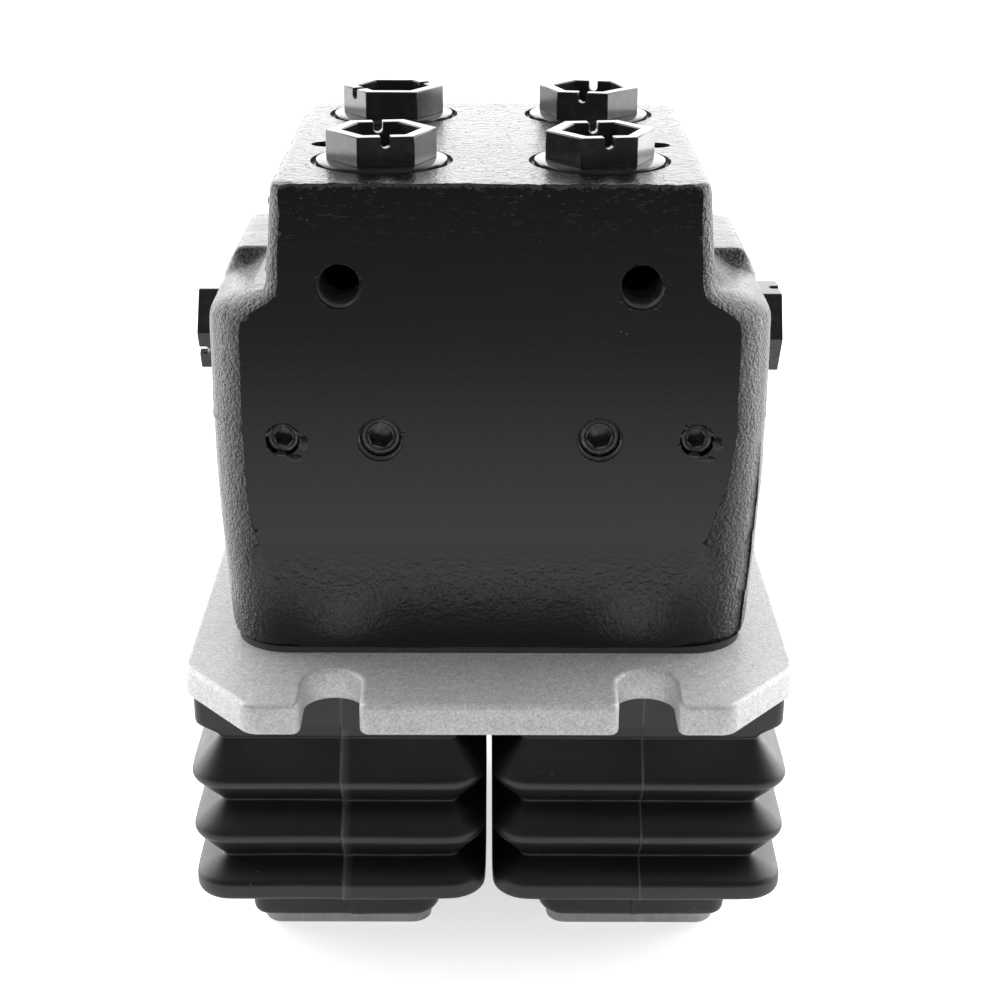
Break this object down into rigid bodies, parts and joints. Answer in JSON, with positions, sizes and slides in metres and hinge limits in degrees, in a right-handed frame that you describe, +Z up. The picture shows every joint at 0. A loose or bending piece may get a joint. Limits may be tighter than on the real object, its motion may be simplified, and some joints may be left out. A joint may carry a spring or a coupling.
{
  "type": "hydraulic pedal pilot valve",
  "caption": "Double foot-pedal hydraulic pilot valve: one-piece cast block with plugged ports, slotted flange plate and two bellows over tilting pedal rockers.",
  "frame": {"origin": "centre of the ground rectangle under the part, level with the undersides of the two pedal pads", "axes": "+Z up from the pads to the ports, +X across the two pedals, -Y towards the machined front face"},
  "size_m": [0.152, 0.173, 0.2082],
  "materials": {
    "black_paint": "gloss black enamel over cast iron",
    "blasted_steel": "bead blasted, bright",
    "gasket_paper": "compressed fibre, matt",
    "rubber": "moulded, satin",
    "black_oxide": "black oxide, satin",
    "label_aluminium": "thin anodised sheet",
    "cast_aluminium": "die cast, tumbled",
    "bronze": "sintered bronze",
    "spring_steel": "oiled wire",
    "ground_steel": "ground"
  },
  "bodies": {
    "valve": {"valve_body": "black_paint", "body_gasket": "gasket_paper", "flange_plate": "blasted_steel", "flange_screws": "black_oxide", "port_plug_front_left": "black_oxide", "port_plug_front_right": "black_oxide", "port_plug_back_left": "black_oxide", "port_plug_back_right": "black_oxide", "port_plug_seals": "rubber", "side_port_plug_left": "black_oxide", "side_port_plug_right": "black_oxide", "side_plug_seals": "rubber", "inner_gallery_plugs": "black_oxide", "outer_gallery_plugs": "black_oxide", "nameplate": "label_aluminium", "nameplate_rivets": "label_aluminium", "guide_bushes": "bronze", "bush_o_rings": "rubber", "rod_seals": "rubber", "pivot_shaft_left": "ground_steel", "pivot_shaft_right": "ground_steel", "shaft_set_screws": "black_oxide", "bellows_left": "rubber", "bellows_right": "rubber", "return_spring_front_left": "spring_steel", "return_spring_back_left": "spring_steel", "return_spring_front_right": "spring_steel", "return_spring_back_right": "spring_steel", "metering_spring_front_left": "spring_steel", "metering_spring_back_left": "spring_steel", "metering_spring_front_right": "spring_steel", "metering_spring_back_right": "spring_steel"},
    "pedal_left": {"rocker_left": "cast_aluminium", "rocker_bushes_left": "bronze", "adjusting_screws_left": "black_oxide", "lock_nuts_left": "ground_steel"},
    "pedal_right": {"rocker_right": "cast_aluminium", "rocker_bushes_right": "bronze", "adjusting_screws_right": "black_oxide", "lock_nuts_right": "ground_steel"},
    "plunger_front_left": {"push_rod_front_left": "ground_steel", "spring_seat_front_left": "ground_steel"},
    "slider_front_left": {"spool_front_left": "ground_steel"},
    "plunger_back_left": {"push_rod_back_left": "ground_steel", "spring_seat_back_left": "ground_steel"},
    "slider_back_left": {"spool_back_left": "ground_steel"},
    "plunger_front_right": {"push_rod_front_right": "ground_steel", "spring_seat_front_right": "ground_steel"},
    "slider_front_right": {"spool_front_right": "ground_steel"},
    "plunger_back_right": {"push_rod_back_right": "ground_steel", "spring_seat_back_right": "ground_steel"},
    "slider_back_right": {"spool_back_right": "ground_steel"}
  },
  "joints": [
    {"name": "pedal_left_tilt", "type": "hinge", "parent": "valve", "child": "pedal_left", "pos_m": [-0.0375, 0, 0.052], "axis": [1, 0, 0], "range_deg": [-12, 12], "stiffness_Nm_per_rad": 60, "deforming": ["bellows_left"]},
    {"name": "pedal_right_tilt", "type": "hinge", "parent": "valve", "child": "pedal_right", "pos_m": [0.0375, 0, 0.052], "axis": [1, 0, 0], "range_deg": [-12, 12], "stiffness_Nm_per_rad": 60, "deforming": ["bellows_right"]},
    {"name": "plunger_front_left_travel", "type": "slide", "parent": "valve", "child": "plunger_front_left", "axis": [0, 0, 1], "range_m": [-0.00565, 0.00565], "deforming": ["return_spring_front_left", "metering_spring_front_left"]},
    {"name": "spool_front_left_travel", "type": "slide", "parent": "valve", "child": "slider_front_left", "axis": [0, 0, 1], "range_m": [-0.0026, 0.0026]},
    {"name": "plunger_back_left_travel", "type": "slide", "parent": "valve", "child": "plunger_back_left", "axis": [0, 0, 1], "range_m": [-0.0058, 0.0058], "deforming": ["return_spring_back_left", "metering_spring_back_left"]},
    {"name": "spool_back_left_travel", "type": "slide", "parent": "valve", "child": "slider_back_left", "axis": [0, 0, 1], "range_m": [-0.0026, 0.0026]},
    {"name": "plunger_front_right_travel", "type": "slide", "parent": "valve", "child": "plunger_front_right", "axis": [0, 0, 1], "range_m": [-0.00565, 0.00565], "deforming": ["return_spring_front_right", "metering_spring_front_right"]},
    {"name": "spool_front_right_travel", "type": "slide", "parent": "valve", "child": "slider_front_right", "axis": [0, 0, 1], "range_m": [-0.0026, 0.0026]},
    {"name": "plunger_back_right_travel", "type": "slide", "parent": "valve", "child": "plunger_back_right", "axis": [0, 0, 1], "range_m": [-0.0058, 0.0058], "deforming": ["return_spring_back_right", "metering_spring_back_right"]},
    {"name": "spool_back_right_travel", "type": "slide", "parent": "valve", "child": "slider_back_right", "axis": [0, 0, 1], "range_m": [-0.0026, 0.0026]}
  ],
  "couplings": [
    {"joint": "pedal_left_tilt", "follows": "plunger_front_left_travel", "rad_per_m": -37.037},
    {"joint": "spool_front_left_travel", "follows": "plunger_front_left_travel", "ratio": 0.43704},
    {"joint": "plunger_back_left_travel", "follows": "plunger_front_left_travel", "ratio": -1},
    {"joint": "spool_back_left_travel", "follows": "plunger_front_left_travel", "ratio": -0.43704},
    {"joint": "pedal_right_tilt", "follows": "plunger_front_right_travel", "rad_per_m": -37.037},
    {"joint": "spool_front_right_travel", "follows": "plunger_front_right_travel", "ratio": 0.43704},
    {"joint": "plunger_back_right_travel", "follows": "plunger_front_right_travel", "ratio": -1},
    {"joint": "spool_back_right_travel", "follows": "plunger_front_right_travel", "ratio": -0.43704}
  ]
}
